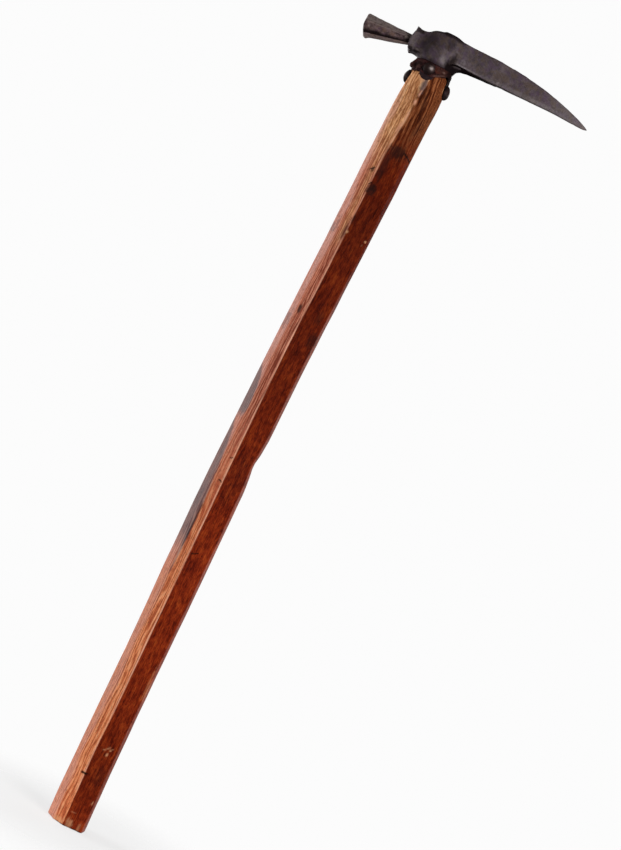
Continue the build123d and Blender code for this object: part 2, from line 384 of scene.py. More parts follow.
def iron_material(name, dark, mid, light, rust, rust_share, worn, pit_depth, metallic, rough, shine):
    """Old iron: a mottled patina of three tones with rust blooms, scratches and pits. One mask paints a
    near-black, mostly painted shade and partly dark patina. Another paints the paler worn colour, mostly
    painted highlights and painted light, partly wear.
    """
    g = Graph(bpy.data.materials.new(name))
    cloud = g.noise(11.0, detail=5.0, roughness=0.6, distortion=0.8)
    mottle = g.noise(2.8, detail=4.0, roughness=0.65, offset=7.0)
    grit = g.noise(0.8, roughness=0.7, offset=15.0)
    bloom = g.noise(7.0, detail=6.0, roughness=0.7, distortion=0.4, offset=31.0)
    tone = g.add(cloud, 0.45, g.times(mottle, 0.45))
    tone = g.add(grit, 0.10, tone)
    colour = g.ramp(tone, (0.39, dark), (0.50, mid), (0.61, light))
    rusty = g.level(g.add(grit, 0.25, bloom), 0.86 - rust_share, 0.98 - rust_share)
    colour = g.mix(rusty, colour, rust)
    pits = g.level(grit, 0.58, 0.74)
    colour = g.mix(g.times(pits, 0.5), colour, tuple(0.45 * v for v in dark))
    hue = g.noise(6.0, offset=51.0)
    warm = tuple(v * k for v, k in zip(mid, (1.25, 1.15, 0.75)))
    cool = tuple(v * k for v, k in zip(mid, (1.05, 0.85, 1.35)))
    colour = g.mix(g.level(hue, 0.50, 0.62, 0.0, 0.75), colour, warm)
    colour = g.mix(g.level(hue, 0.50, 0.38, 0.0, 0.75), colour, cool)
    scratch = g.level(g.slanted(0.7, 12.0), 0.55, 0.68)
    colour = g.mix(g.times(scratch, 0.55), colour, light)
    shade = g.mask("shade")
    highlight_and_wear = g.mask("highlight_and_wear")
    # near-black: painted shade, and in places dark patina
    colour = g.mix(shade, colour, (0.0070, 0.0042, 0.0044))
    # the paler worn colour: painted highlights and painted light, partly wear
    colour = g.mix(g.times(highlight_and_wear, g.level(mottle, 0.36, 0.56, 0.45, 1.0)), colour, worn)
    roughness = g.add(mottle, 0.25, g.add(rusty, 0.25, rough))
    roughness = g.add(shade, 0.22, roughness)
    height = g.add(pits, -0.9, g.times(mottle, 0.9))
    height = g.add(grit, 0.35, height)
    plain = g.math("SUBTRACT", 1.0, shade)
    return g.finish(colour, roughness, height, pit_depth, g.times(plain, metallic),
                    g.times(plain, shine))


# ---------------- the shaft

# corners of the hewn section, from the sharp front arris round by the pick side
HEWN = np.array([(-0.13, -1.00), (0.91, -0.84), (1.00, -0.42), (0.97, 0.42),
                 (0.50, 1.00), (-0.42, 0.97), (-1.00, 0.16), (-0.69, -0.49)])
EIGHTH = math.tan(math.pi / 8)
EVEN = np.array([(-EIGHTH, -1), (EIGHTH, -1), (1, -EIGHTH), (1, EIGHTH),
                 (EIGHTH, 1), (-EIGHTH, 1), (-1, EIGHTH), (-1, -EIGHTH)])
# each table below gives (height, value) knots; first, where the sharp front arris stands
ARRIS = ((0, -2.1), (30, -3.2), (90, -5.2), (125, -4.9), (190, -5.7), (240, -6.5), (300, -7.0),
         (390, -8.6), (480, -9.5), (570, -9.3), (605, -8.3), (710, -7.1), (770, -6.6), (810, -3.2),
         (853, 0.5))
# width across, depth through, and how far the shaft bows towards the poll
WIDTHS = ((0, 43.3), (25, 43.6), (65, 42.9), (145, 42.2), (225, 42.5), (265, 43.2), (345, 43.4),
          (385, 43.3), (445, 43.1), (525, 42.8), (565, 42.8), (645, 43.4), (725, 44.4), (765, 44.5),
          (800, 44.9), (827, 43.5), (840, 41.8), (853, 39.2))
DEPTHS = ((0, 38.4), (105, 38.1), (225, 38.1), (330, 38.6), (605, 38.3), (805, 38.6), (838, 38.2),
          (853, 37.0))
BOW = ((0, 0.1), (25, 0.8), (65, 1.8), (105, 2.5), (145, 2.9), (225, 3.7), (305, 5.0), (385, 6.3),
       (445, 6.1), (525, 5.5), (605, 4.1), (685, 2.7), (765, 1.9), (805, 1.5), (830, 0.5),
       (853, 0.0))
# a shallow hewn hollow in the pick side
HOLLOW = ((380, 0.0), (391, 0.6), (400, 1.4), (406, 2.1), (412, 2.9), (417, 2.9), (421, 2.4),
          (427, 1.4), (436, 0.6), (446, 0.0))
FLAT_STEPS, ARC_STEPS = 16, 4     # points along each flat and round each corner of a ring
AROUND = 8 * (FLAT_STEPS + ARC_STEPS)


def centre_x(z):
    return -float(through(z, BOW))


def shaft_corners(z, wander):
    """The eight corners of the wood at height z."""
    even = float(smooth_step(640.0, 835.0, z)) * 0.55 + float(smooth_step(800.0, 853.0, z)) * 0.45
    corners = HEWN * (1 - even) + EVEN * even
    corners = corners * [float(through(z, WIDTHS)) / 2, float(through(z, DEPTHS)) / 2]
    followed = float(smooth_step(848.0, 800.0, z))
    corners[0, 0] += followed * (float(through(z, ARRIS)) - centre_x(z) - corners[0, 0])
    corners = corners + wander * [[0.5 if k == 0 else 1.0, 1.0] for k in range(8)]
    hollow = float(through(z, HOLLOW))
    corners[2:4, 0] -= hollow
    corners[1, 0] -= 0.6 * hollow
    return corners


def make_shaft(material):
    heights = np.concatenate([
        [0.0, 0.0, 0.4, 1.1, 2.0, 3.0, 4.2], np.arange(5.4, NECK - 0.5, 1.15), [NECK],
        NECK + np.array([3.0, 6.0, 9.0, 12.0, 12.4]), [NECK + 37.4, NECK + 38.0, NECK + 38.0]])
    seeds = np.arange(8)
    line = np.array([(k * 57.0, 11.0 * k, 0.0) for k in seeds])
    rings = []
    around = np.zeros((len(heights), AROUND))
    for row, z in enumerate(heights):
        at = line + [0.0, 0.0, z]
        wander = np.stack([noise(at, 75.0, 3) * 0.25 + noise(at, 22.0, 4) * 0.14,
                           noise(at, 75.0, 5) * 0.45 + noise(at, 22.0, 6) * 0.16], axis=1)
        radius = 1.0 + 3.6 * float(smooth_step(700.0, 845.0, z))
        ring = rounded(shaft_corners(min(z, NECK), wander), radius, FLAT_STEPS, ARC_STEPS)
        ring[:, 0] += centre_x(z)
        middle = ring.mean(axis=0)
        if z < 5.0:
            inset = 1.7 * (1.0 - math.sqrt(1.0 - (1.0 - z / 5.0) ** 6))
            ring = middle + (ring - middle) * (1.0 - inset / 20.0)
        if row == 0:
            ring = middle + (ring - middle) * 0.5
        if z > NECK:
            into = float(smooth_step(NECK, NECK + 12.0, z))
            angles = np.arctan2(ring[:, 1], ring[:, 0] - middle[0])
            tenon = np.stack([EYE_X + TENON * np.cos(angles), TENON * np.sin(angles)], axis=1)
            ring = ring * (1 - into) + tenon * into
            if row == len(heights) - 1:
                ring = ring.mean(axis=0) + (ring - ring.mean(axis=0)) * 0.5
        rings.append(np.column_stack([ring, np.full(AROUND, z)]))
        step = np.arange(AROUND)
        corner, part = step // (FLAT_STEPS + ARC_STEPS), step % (FLAT_STEPS + ARC_STEPS)
        in_arc = (part / ARC_STEPS - 0.5) * 0.10
        in_flat = 0.05 + crowd((part - ARC_STEPS) / FLAT_STEPS) * 0.90
        around[row] = corner + np.where(part <= ARC_STEPS, in_arc, in_flat)
    points, faces = ring_loft(rings)
    side = np.append(around.ravel(), [0.0, 0.0])
    points = dent_shaft(points, faces, side)
    shaft = make_piece("shaft_wood_body", points, faces)
    paint_shaft(shaft, points, side)
    return stand_in(shaft, "shaft", material)


def dent_shaft(points, faces, side):
    """Tool marks, wear and small injuries in the wood's surface."""
    x, y, z = points.T
    n = normals(points, faces)
    shift = 0.22 * noise(points, (26.0, 26.0, 95.0), 11) + 0.10 * noise(points, (8.0, 8.0, 40.0), 12)
    worn = smooth_step(700.0, 840.0, z)
    wear = 0.50 * noise(points, (9.0, 9.0, 38.0), 13) + 0.14 * noise(points, (3.5, 3.5, 12.0), 14)
    shift += worn * wear
    foot = smooth_step(14.0, 0.0, z)
    shift += foot * (0.35 * noise(points, 4.0, 15) - 0.1)
    front = y < -8.0
    arris = np.minimum(side, 8.0 - side)
    shift -= 0.9 * bump(z, 58.0, 1.6) * bump(arris, 0.0, 0.18) * front
    shift -= 0.5 * bump(z, 727.0, 3.0) * bump(arris, 0.05, 0.12) * front
    shift += 0.35 * bump(arris, 0.0, 0.10) * front * smooth_step(700.0, 760.0, z)
    shift -= 0.9 * bump(z, 2.5, 3.0) * bump(x, -3.0, 6.0) * front
    shift *= smooth_step(NECK + 2.0, NECK - 4.0, z) * smooth_step(-0.5, 0.6, z)
    return points + n * shift[:, None]


def blot(x, z, at, ragged, spread=0.35):
    """A ragged spot: 1 inside an ellipse at (x, z, half width, half height), 0 outside."""
    cx, cz, rx, rz = at
    reach = np.sqrt(((x - cx) / rx) ** 2 + ((z - cz) / rz) ** 2) + ragged
    return smooth_step(1.0 + spread, 1.0 - spread, reach)


def strongest(x, z, spots, ragged, spread):
    """The strongest at each point of several blots, each (x, z, half width, half height, strength)."""
    total = np.zeros_like(x)
    for *at, strength in spots:
        total = np.maximum(total, strength * blot(x, z, at, ragged, spread))
    return total


def paint(piece, masks):
    for name, values in masks.items():
        layer = piece.data.attributes.new(name, "FLOAT", "POINT")
        layer.data.foreach_set("value", np.clip(values, 0.0, 1.0).astype(np.float32))


# dark stains and pale chips on the front, the pale spot at x 18.8, z 846 being a painted highlight on
# the wood's edge: x, z, half width, half height, strength
DARK_SPOTS = (
    (-3.5, 722.0, 4.2, 6.5, 0.90), (-2.5, 748.0, 3.6, 16.0, 0.55), (4.0, 767.0, 9.0, 6.5, 0.72),
    (-6.8, 687.0, 1.2, 5.5, 0.55), (-8.6, 671.0, 1.0, 3.5, 0.6), (-19.5, 676.0, 1.2, 5.0, 0.35),
    (10.0, 556.0, 4.5, 9.0, 0.55), (7.0, 580.0, 3.0, 8.0, 0.45), (-16.0, 580.0, 1.4, 4.5, 0.8),
    (-4.0, 836.0, 1.6, 12.0, 0.5), (2.0, 836.0, 1.8, 3.4, 0.45), (4.2, 830.0, 2.0, 4.0, 0.45),
    (7.0, 822.0, 2.2, 6.0, 0.5), (2.0, 395.0, 9.0, 26.0, 0.22), (-11.0, 741.0, 1.6, 3.0, 0.7),
    (-9.5, 672.0, 2.0, 9.0, 0.5), (11.0, 60.0, 5.0, 12.0, 0.30), (-17.3, 336.0, 0.9, 22.0, 0.7),
    (12.0, 800.0, 4.0, 12.0, 0.35))
PALE_SPOTS = (
    (-11.0, 3.0, 1.6, 3.0, 0.45), (-7.0, 3.0, 1.8, 2.6, 0.5), (-3.4, 4.6, 1.2, 4.0, 0.35),
    (1.6, 5.0, 1.6, 5.6, 0.32), (5.0, 4.2, 1.8, 4.2, 0.36), (14.0, 4.0, 1.2, 4.6, 0.22),
    (3.2, 88.0, 0.8, 1.4, 0.6), (6.8, 92.0, 0.9, 2.0, 0.8), (7.2, 84.0, 0.8, 1.8, 0.7),
    (9.6, 89.5, 0.7, 1.2, 0.6), (11.4, 91.5, 0.7, 0.8, 0.5), (2.5, 16.8, 2.4, 0.7, 0.18),
    (16.2, 33.0, 0.6, 1.8, 0.5), (14.0, 170.0, 0.8, 16.0, 0.22), (16.0, 160.0, 0.8, 9.0, 0.25),
    (14.6, 671.0, 0.8, 1.1, 0.7), (12.3, 666.0, 0.5, 1.4, 0.5), (-6.0, 846.0, 2.4, 3.0, 0.5),
    (18.8, 846.0, 0.7, 3.0, 0.6), (-6.6, 672.0, 1.0, 1.6, 0.6))
# how much darker the wood is painted along its height, beside the arris and on the paler poll side
DARKENED = ((0, 0.18), (40, 0.28), (80, 0.24), (130, 0.12), (200, 0.0), (300, 0.0), (370, 0.08),
            (450, 0.26), (530, 0.40), (620, 0.44), (690, 0.54), (770, 0.44), (853, 0.35))
DARKENED_LIT = ((0, 0.30), (30, 0.12), (80, 0.0), (240, 0.0), (350, 0.30), (480, 0.55), (600, 0.55),
                (750, 0.45), (853, 0.2))
# how strongly the two far facets carry a painted sheen, with some dust on the poll side, and how plainly
# the arris shows as a painted highlight line
SHEEN_AND_DUST_POLL = ((0, 0.60), (300, 0.66), (500, 0.85), (690, 0.90), (770, 0.75), (810, 0.65), (850, 0.1))
SHEEN_PICK = ((0, 0.22), (200, 0.28), (480, 0.30), (600, 0.20), (660, 0.0))
ARRIS_HIGHLIGHT = ((60, 0.55), (250, 0.75), (400, 0.75), (500, 0.60), (640, 0.60), (700, 0.35),
               (760, 0.50), (800, 0.60), (830, 0.60), (848, 0.1))


def paint_shaft(shaft, points, side):
    """Masks that say where the wood is worn paler (partly painted light), bare, stained, chipped or
    cracked. Others say where a painted sheen, a painted highlight along the arris and painted shade on
    the foot's rim lie.
    """
    x, y, z = points.T
    front = smooth_step(2.0, -4.0, y)
    patchy = noise(points, (5.0, 5.0, 26.0), 21)
    streaky = noise(points, (1.1, 1.1, 18.0), 22)
    rough = 0.6 * noise(points, (2.2, 2.2, 5.0), 23) + 0.7 * noise(points, (1.1, 1.1, 2.0), 24)
    turned = np.where(side > 4.0, side - 8.0, side)     # 0 at the front arris, below it the poll side
    past = x - through(z, ARRIS) + 0.5 * streaky * smooth_step(720.0, 780.0, z)
    # the poll-side facets, worn paler and painted brighter as if lighted
    poll_side_worn_and_lit = smooth_step(0.45, -0.25, past) * smooth_step(-2.45, -2.10, turned)
    masks = {"poll_side_worn_and_lit": poll_side_worn_and_lit * (1.0 - 0.22 * smooth_step(0.2, 0.9, streaky))}
    masks["deep"] = through(z, DARKENED) * (1 - poll_side_worn_and_lit) + through(z, DARKENED_LIT) * poll_side_worn_and_lit
    # painted sheen with some dust on the far poll-side facet, painted sheen alone along the pick-side
    # facet
    far = smooth_step(-0.70 + 0.15 * patchy, -1.15 + 0.15 * patchy, turned)
    far = far * smooth_step(-2.4, -1.9, turned) * through(z, SHEEN_AND_DUST_POLL)
    beside = smooth_step(0.94, 1.0, turned) * smooth_step(2.1, 1.9, turned)
    sheen_and_dust = np.maximum(far, beside * through(z, SHEEN_PICK)) * np.clip(0.88 + 0.40 * streaky, 0.0, 1.1)
    top = smooth_step(728.0, 790.0, z + 12.0 * patchy)
    top = np.maximum(top, 0.75 * bump(past, -4.5, 3.2) * smooth_step(625.0, 680.0, z + 10.0 * patchy))
    masks["sheen_and_dust"] = np.maximum(sheen_and_dust, 0.22 * poll_side_worn_and_lit * smooth_step(330.0, 460.0, z) * (1.0 - top))
    front_top = smooth_step(745.0, 812.0, z + 6.0 * patchy + 5.0 * streaky) * (1 - poll_side_worn_and_lit)
    masks["bare"] = np.clip(poll_side_worn_and_lit * top + 0.85 * front_top, 0.0, 1.0)
    ruddy = smooth_step(-1.0, -0.5, turned) * poll_side_worn_and_lit * smooth_step(400.0, 480.0, z)
    masks["ruddy"] = ruddy * (1 - 0.6 * top)
    # painted highlight: a thin pale line along the front arris
    thin = bump(past, -0.55, 0.62) * front * smooth_step(20.0, 60.0, z)
    broken = np.clip(0.85 + 0.5 * patchy + 0.4 * streaky, 0.0, 1.3)
    masks["arris"] = 1.35 * through(z, ARRIS_HIGHLIGHT) * thin * broken
    under_strap = 0.80 * blot(x, z, (-2.4, 841.0, 2.6, 10.0), 0.45 * rough, 0.4) * front
    masks["grey"] = np.maximum(grey_stain(x, z, rough, patchy) * smooth_step(-2.0, -6.0, x), under_strap)
    # painted shade along the lower rim of the foot
    rim = 0.85 * smooth_step(1.6, 0.8, z + 0.5 * rough) * smooth_step(-13.0, -8.0, x)
    stains = strongest(x, z, DARK_SPOTS, 0.45 * rough + 0.2 * streaky, 0.45)
    masks["dark"] = np.maximum(stains, rim) * front
    masks["pale"] = strongest(x, z, PALE_SPOTS, 0.5 * rough + 0.15 * streaky, 0.5) * front
    masks["crack"] = cracks(x, z, rough) * front
    paint(shaft, masks)


def grey_stain(x, z, rough, patchy):
    """Two weathered grey patches on the poll side, the lower one running down into a dark streak."""
    lower_edge = through(z, ((280, -19.0), (300, -17.6), (330, -17.0), (360, -17.2), (385, -18.6),
                             (412, -20.6), (440, -23.5), (456, -27.0)))
    low = smooth_step(0.8, -1.2, x - lower_edge - 0.6 * rough) * smooth_step(296, 330, z)
    streak = bump(x, -17.6 + 0.004 * (z - 300), 1.0)
    streak = streak * smooth_step(272, 286, z) * smooth_step(350, 318, z)
    upper_edge = through(z, ((450, -21.5), (462, -19.4), (482, -19.6), (500, -21.4), (518, -26.0)))
    high = smooth_step(0.8, -0.8, x - upper_edge - 0.5 * rough)
    high = high * smooth_step(452, 462, z + 2 * rough) * smooth_step(520, 508, z)
    spots = 0.6 * blot(x, z, (-24.0, 566.0, 2.5, 9.0), rough)
    spots = spots + 0.6 * blot(x, z, (-22.5, 672.0, 2.0, 7.0), rough)
    return np.clip(0.92 * low + 0.92 * high + 0.75 * streak + spots, 0, 1) * (0.90 + 0.10 * patchy)


def cracks(x, z, rough):
    """Short dark cracks, each (x, z, half length, slope, half width)."""
    lines = ((-5.0, 58.0, 3.6, 0.12, 0.7), (-2.0, 308.5, 3.6, 0.45, 0.35),
             (-11.5, 387.0, 2.2, -0.3, 0.4), (-11.5, 413.0, 1.6, 0.5, 0.5),
             (15.0, 767.0, 4.6, -0.55, 0.7), (-12.0, 742.0, 2.4, 0.7, 0.6), (-7.5, 727.0, 1.4, 1.0, 0.6))
    total = np.zeros_like(x)
    for cx, cz, half, slope, width in lines:
        off = np.abs(z - cz - slope * (x - cx) - 0.5 * rough)
        total = np.maximum(total, smooth_step(width + 0.7, width - 0.2, off)
                           * smooth_step(half + 0.8, half - 0.8, np.abs(x - cx)))
    return total


# ---------------- the forged head

# outline of the pick above the foot of the eye, and half its thickness, along x
PICK_TOP = ((-5, 46.5), (46, 46.4), (62, 46.2), (74, 45.6), (86, 44.3), (98, 42.7), (110, 40.5),
            (122, 38.1), (134, 35.2), (146, 31.8), (158, 27.9), (165, 25.2), (169, 23.4))
PICK_LOW = ((-5, 22.0), (60, 22.1), (110, 22.6), (122, 22.6), (134, 22.4), (146, 22.0), (158, 21.5),
            (165, 21.4), (169, 22.2))
PICK_HALF = ((-3, 12.0), (20, 11.4), (32, 9.8), (50, 8.3), (75, 7.0), (110, 5.9), (140, 4.0),
             (160, 2.1), (169, 0.9))


def pick_field(x, y, z):
    """The long pick: top and underside as tabled, and faces that close towards the point."""
    top = through(x, PICK_TOP)
    slope = (through(x - 1.0, PICK_TOP) - through(x + 1.0, PICK_TOP)) / 2
    half = through(x, PICK_HALF) * (1.0 - 0.05 * ((z - 34.0) / 11.0) ** 2)
    low = through(x, PICK_LOW) + 0.11 * (y + half)
    outline = np.maximum((z - top) / np.sqrt(1.0 + slope ** 2), low - z)
    body = soft_max(outline, np.abs(y) - half, 0.9)
    return soft_max(soft_max(body, EYE_X - x, 1.0), x - TIP_X + 0.2, 0.8)


def eye_field(x, y, z):
    """The bulged eye with its shallow crown."""
    r = np.sqrt((x - EYE_X) ** 2 + y ** 2)
    side = r - (19.2 - 1.6 * ((z - 26.5) / 14.5) ** 2)
    crown = z - (48.9 - ((x - 1.5) ** 2 + y ** 2) / 104.0)
    return soft_max(soft_max(side, crown, 3.5), EYE_FOOT - z, 1.4)


def socket_field(x, y, z):
    """The square socket: drawn in at the waist, with four flared lips round its mouth."""
    mid = 28.3
    half_y = through(x, ((-38, 11.4), (-35, 11.0), (-31, 10.3), (-25, 10.3), (-18, 12.0), (-10, 14.0)))
    half_z = through(x, ((-38, 13.6), (-33, 13.0), (-28, 11.8), (-24, 12.0), (-18, 13.2), (-10, 14.5)))
    box = soft_max(np.abs(y) - half_y, np.abs(z - mid) - half_z, 1.6)
    lip = -34.0 - 2.4 * bump(z, mid - 2.0, 8.0) * smooth_step(5.0, 8.0, np.abs(y))
    lip = lip + 2.6 * smooth_step(mid - 8.0, mid - 14.0, z)
    body = soft_max(soft_max(box, lip - x, 0.8), x + 6.0, 1.0)
    for end in (-1, 1):
        corner = np.sqrt((np.abs(y) - 11.6) ** 2 + ((z - mid - end * 10.2) / 1.15) ** 2)
        slot = np.maximum(corner - np.clip(0.5 * (-26.6 - x), 0.0, 2.6), x + 26.6)
        body = soft_max(body, -slot, 0.5)
    hollow = 5.4 + 0.95 * np.clip(-31.0 - x, 0.0, 6.0)
    mouth = soft_max(np.abs(y) - hollow, np.abs(z - mid + 0.6) - hollow - 0.8, 1.0)
    mouth = np.maximum(mouth, x - BIT_NECK_X)
    return soft_max(body, -mouth, 0.6)


def heel_field(x, y, z):
    """The thickening under the root of the pick, thinning out along it."""
    low = through(x, ((19.0, 11.0), (20.0, 13.5), (21.5, 17.0), (24.0, 19.2), (29.0, 20.5), (40.0, 21.6),
                      (52.0, 22.4), (64.0, 23.4)))
    sides = soft_max(np.abs(y) - 7.4, (low - z) * 0.7, 1.5)
    return soft_max(sides, soft_max(x - 64.0, z - 25.0, 1.0), 1.2)


def head_field(x, y, z):
    """Eye, pick, socket and heel in one, with the tang's hole and the bore cut out of it."""
    solid = soft_min(eye_field(x, y, z), pick_field(x, y, z), 6.5)
    solid = soft_min(solid, socket_field(x, y, z), 4.2)
    solid = soft_min(solid, np.maximum(heel_field(x, y, z), 4.0 - x), 2.2)
    solid = np.maximum(solid, EYE_FOOT - z)
    tang = np.maximum(np.maximum(np.abs(y), np.abs(z - TANG_MID)) - 4.25, x + 22.5)
    solid = np.maximum(solid, -np.maximum(tang, -37.0 - x))
    bore = np.maximum(np.sqrt((x - EYE_X) ** 2 + y ** 2) - BORE, z - BORE_TOP)
    return np.maximum(solid, -bore)


def make_head(material):
    low = (HEAD_LO.x / MM - 4.0, -21.5, 10.0)
    high = (HEAD_HI.x / MM + 1.5, 21.5, 52.5)
    points, faces = solid_from_field(head_field, low, high, 0.6)
    layers = ((14.0, 0.30, 41), (5.5, 0.13, 42), (2.2, 0.05, 43))
    points = add_relief(points, faces, layers)
    masks = head_shade_and_highlights(points, normals(points, faces))
    points[:, 2] += NECK
    head = make_piece("head_forging", points, faces)
    paint(head, masks)
    return stand_in(head, "head", material)


# painted shade spots, then painted highlight spots, on the forging's front: x, z, half width, half
# height, softness of the edge, strength
SHADE_SPOTS = ((-16.5, 31.0, 7.5, 16.0, 0.6, 0.70), (5.5, 37.0, 5.0, 10.0, 0.7, 0.60),
               (-32.0, 16.9, 3.0, 2.4, 0.4, 0.97), (-24.6, 17.3, 4.8, 1.2, 0.5, 0.92),
               (-28.5, 38.2, 5.0, 2.2, 0.6, 0.85))
HIGHLIGHT_SPOTS = ((4.5, 19.5, 3.6, 3.6, 0.6, 0.50), (23.5, 27.5, 3.0, 2.5, 0.5, 0.40),
                (-24.6, 19.4, 1.6, 0.9, 0.5, 0.60))
# how dark the underside is painted, as painted shade, and how bright the pick's lower arris, as a
# painted highlight, along x
UNDERSIDE = ((2, 0.0), (8, 1.0), (50, 1.0), (90, 0.45), (169, 0.0))
BRIGHT_ARRIS = ((14, 0.2), (20, 1.0), (36, 1.0), (46, 0.5), (169, 0.55))


def head_shade_and_highlights(points, n):
    """Painted shade on the forging: spots, the crease at the pick's root, the crown, the underside and
    the eye's foot, and darker towards the eye. Painted highlights: spots, a band above the pick's lower
    edge and its lower arris. Paler grey towards the point and on the socket's lip.
    """
    x, y, z = points.T
    ragged = 0.30 * noise(points, 4.0, 44) + 0.20 * noise(points, 1.6, 45)
    front = smooth_step(1.0, -5.0, y)
    eye = smooth_step(17.0, 14.0, np.abs(x - EYE_X)) * front
    under = smooth_step(-0.35, -0.75, n[:, 2]) * through(x, UNDERSIDE)
    low_eye = smooth_step(22.0, 19.0, z + 2.0 * ragged) * smooth_step(6.0, 10.0, x)
    # painted shade
    shade = np.maximum.reduce([
        *(strength * blot(x, z, at, ragged, spread) * front for *at, spread, strength in SHADE_SPOTS),
        0.85 * blot(x, z, (12.8, 19.0, 4.6, 9.0), 1.6 * ragged, 0.9) * front,
        0.18 * smooth_step(20.0, 16.0, x) * smooth_step(22.0, 26.0, z),
        0.12 * smooth_step(75.0, 45.0, x),
        0.85 * smooth_step(41.5, 45.5, z + ragged) * smooth_step(24.0, 12.0, x)
        * smooth_step(-24.0, -18.0, x),
        0.97 * np.maximum(under, low_eye),
        0.55 * smooth_step(17.0, 13.5, z) * eye])
    edge = through(x, PICK_LOW)
    lower_sheen = 0.55 * smooth_step(edge + 5.5, edge + 3.0, z + ragged) * smooth_step(24.0, 60.0, x) * front
    line = through(x, BRIGHT_ARRIS) * bump(z, edge + 1.3, 0.7) * smooth_step(14.0, 19.0, x)
    # painted highlights, and paler grey towards the point and on the socket's lip
    highlight_and_wear = np.maximum.reduce([
        *(strength * blot(x, z, at, ragged, spread) * front for *at, spread, strength in HIGHLIGHT_SPOTS),
        lower_sheen * through(x, ((20, 0.5), (80, 0.8), (130, 1.0), (169, 0.8))),
        line * front,
        0.32 * smooth_step(112.0, 140.0, x),
        0.25 * smooth_step(-27.0, -29.5, x + ragged) * front])
    return {"shade": shade, "highlight_and_wear": highlight_and_wear * (1.0 - 0.7 * shade)}


# ---------------- the hammer bit

SLIM, FLARED = 9.4, 23.2          # the bit's height there and at its face
FLARE_LENGTH = BIT_NECK_X - BIT_END - 4.0


def bit_ring(x):
    """The bit's section at x: eight-sided outside the socket, and its square tang inside."""
    if x > BIT_NECK_X:
        half, deep, upper, lower, mid = 4.1, 4.1, 0.9, 0.9, NECK + TANG_MID
    else:
        along = min((BIT_NECK_X - x) / FLARE_LENGTH, 1.0)
        height = SLIM + (FLARED - SLIM) * along ** 0.95
        half, deep = height / 2, height / 2 * (1.0 - 0.07 * along)
        upper, lower = 0.34 * height, 0.08 * height
        mid = BIT_TOP - height / 2
    worn = max(0.0, (BIT_END + 2.4 - x) / 2.4)
    half = half - 1.3 * worn ** 2.2
    deep = deep - 1.3 * worn ** 2.2
    above, under = deep * 0.44, deep * 0.52
    ring = rounded([(above, half), (-above, half), (-deep, half - upper), (-deep, -half + lower),
                    (-under, -half), (under, -half), (deep, -half + lower), (deep, half - upper)],
                   0.7, 10, 3)
    return ring, mid


def make_bit(material):
    """An eight-sided bit that flares to a worn, slightly domed face, with its tang in the socket."""
    stations = np.concatenate([
        [-22.6, -22.6, -23.2], np.arange(-24.0, BIT_NECK_X, -1.6), [BIT_NECK_X + 0.3],
        np.arange(BIT_NECK_X, BIT_END + 2.4, -1.0), BIT_END + np.array([2.2, 1.5, 0.9, 0.45, 0.2, 0.0])])
    rings = []
    for row, x in enumerate(stations):
        ring, mid = bit_ring(x)
        if row == 0 or row == len(stations) - 1:
            ring = ring * 0.55
        rings.append(np.column_stack([np.full(len(ring), x), ring[:, 0], ring[:, 1] + mid]))
    points, faces = ring_loft(rings)
    outside = smooth_step(BIT_NECK_X + 0.5, BIT_NECK_X - 2.0, points[:, 0])
    rough = add_relief(points, faces, ((9.0, 0.22, 51), (3.5, 0.09, 52)))
    points = points + (rough - points) * outside[:, None]
    below = np.clip((NECK + 20.0 - points[:, 2]) / 11.5, 0.0, 1.0)
    lean = 0.7 + 5.0 * below ** 1.3             # the worn face falls back towards its foot
    points[:, 0] += lean * smooth_step(BIT_END + 14.0, BIT_END, points[:, 0])
    bit = make_piece("hammer_bit", points, faces)
    paint(bit, bit_shade_and_highlights(points))
    return stand_in(bit, "hammer_poll", material)


def bit_shade_and_highlights(points):
    """Painted light on the bit. The facets above and below are paler, a highlight line runs under the
    upper facet and a highlight spot sits near the face. The lip's cast shadow is lightened beside the
    socket. Painted shade falls low on the middle facet and in spots beside the socket. Dark patina
    blotches lie over the front, and the bit is darker towards its face.
    """
    x, y, z = points.T
    z = z - NECK
    ragged = 0.35 * noise(points, 3.0, 54)
    blotchy = noise(points, (10.0, 4.0, 2.4), 55) + 0.6 * noise(points, (3.0, 2.0, 1.1), 56)
    height = SLIM + (FLARED - SLIM) * np.clip((BIT_NECK_X - x) / FLARE_LENGTH, 0.0, 1.0)
    share = (BIT_TOP - NECK - z) / height           # 0 at the top of the bit, 1 at its foot
    front = smooth_step(1.0, -1.0, y)
    facing = smooth_step(0.31, 0.36, share) * smooth_step(0.94, 0.91, share) * front
    # painted shade, with dark patina blotches and a darker end by the face
    shade = np.maximum.reduce([
        0.97 * smooth_step(0.66, 0.82, share + 0.20 * ragged) * facing,
        0.85 * blot(x, z, (-41.0, 23.6, 4.5, 3.0), 0.9 * blotchy, 0.5) * front,
        0.55 * smooth_step(0.1, 0.9, blotchy) * facing,
        0.30 * smooth_step(0.3, 1.0, blotchy) * front,
        0.60 * smooth_step(BIT_END + 4.0, BIT_END + 0.5, x) * front])
    # painted light and painted highlights
    highlight_and_wear = np.maximum.reduce([
        0.90 * smooth_step(0.34, 0.29, share) * smooth_step(1.0, -2.0, y),
        0.55 * bump(share, 0.36, 0.05) * front,
        0.55 * smooth_step(0.92, 0.95, share),
        0.70 * smooth_step(-43.0, -40.5, x) * smooth_step(0.72, 0.45, share) * front,
        0.85 * blot(x, z, (-79.3, 19.6, 1.3, 1.3), ragged, 0.5) * front])
    return {"shade": shade * (1.0 - 0.8 * highlight_and_wear), "highlight_and_wear": highlight_and_wear}


# ---------------- band, straps and nails

